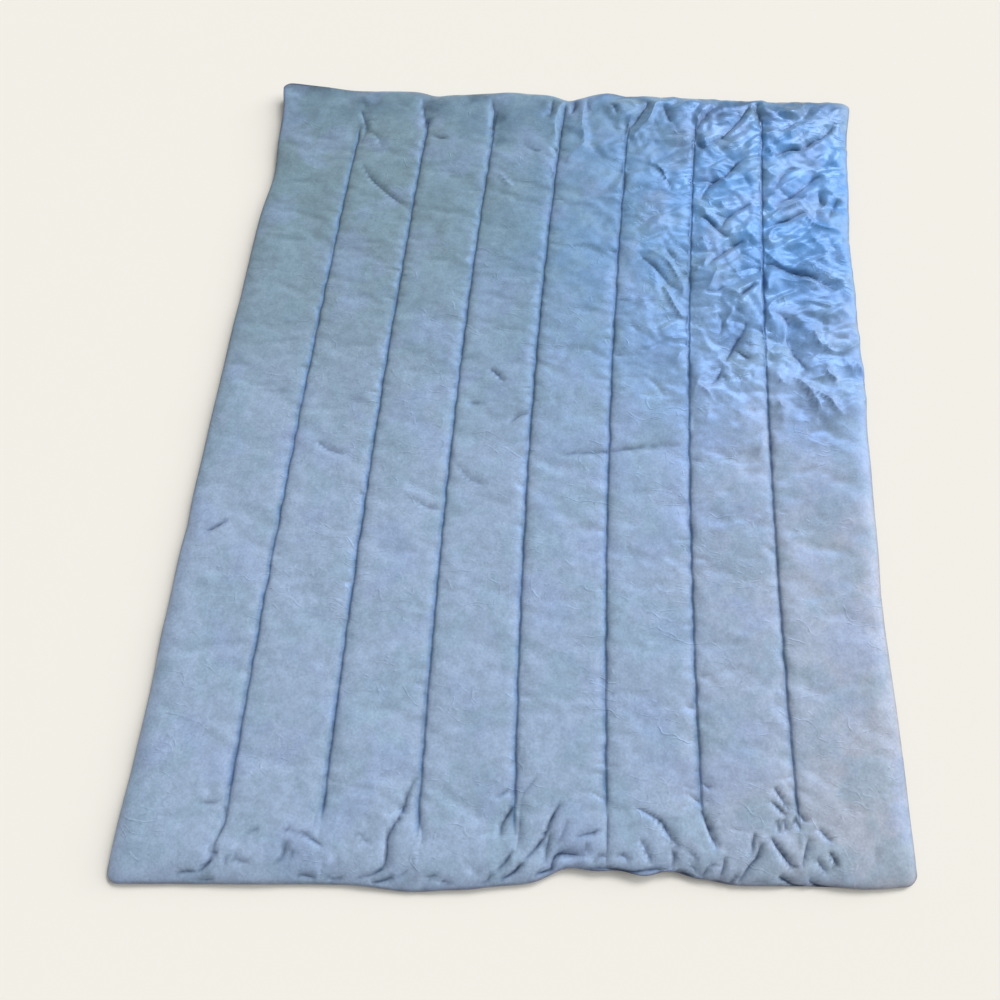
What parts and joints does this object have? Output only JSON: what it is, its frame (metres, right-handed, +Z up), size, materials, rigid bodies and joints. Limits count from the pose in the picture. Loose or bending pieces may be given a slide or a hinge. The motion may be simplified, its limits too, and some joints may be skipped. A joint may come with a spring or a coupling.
{
  "type": "comforter",
  "caption": "Thin quilted comforter lying spread out, sewn lengthwise into soft channels that stop short of a turned rim.",
  "frame": {"origin": "middle of the outline's box, on the floor that the comforter lies on", "axes": "+Y along the channel seams towards the head end, +X across them, +Z up through the thickness"},
  "size_m": [1.5904, 2.0712, 0.0335],
  "materials": {
    "quilted_cloth": "washed plain-woven microfibre, soft sheen, crumpled",
    "seam_thread": "dark blue sewing thread"
  },
  "bodies": {
    "root": {"comforter": "quilted_cloth"}
  },
  "joints": []
}
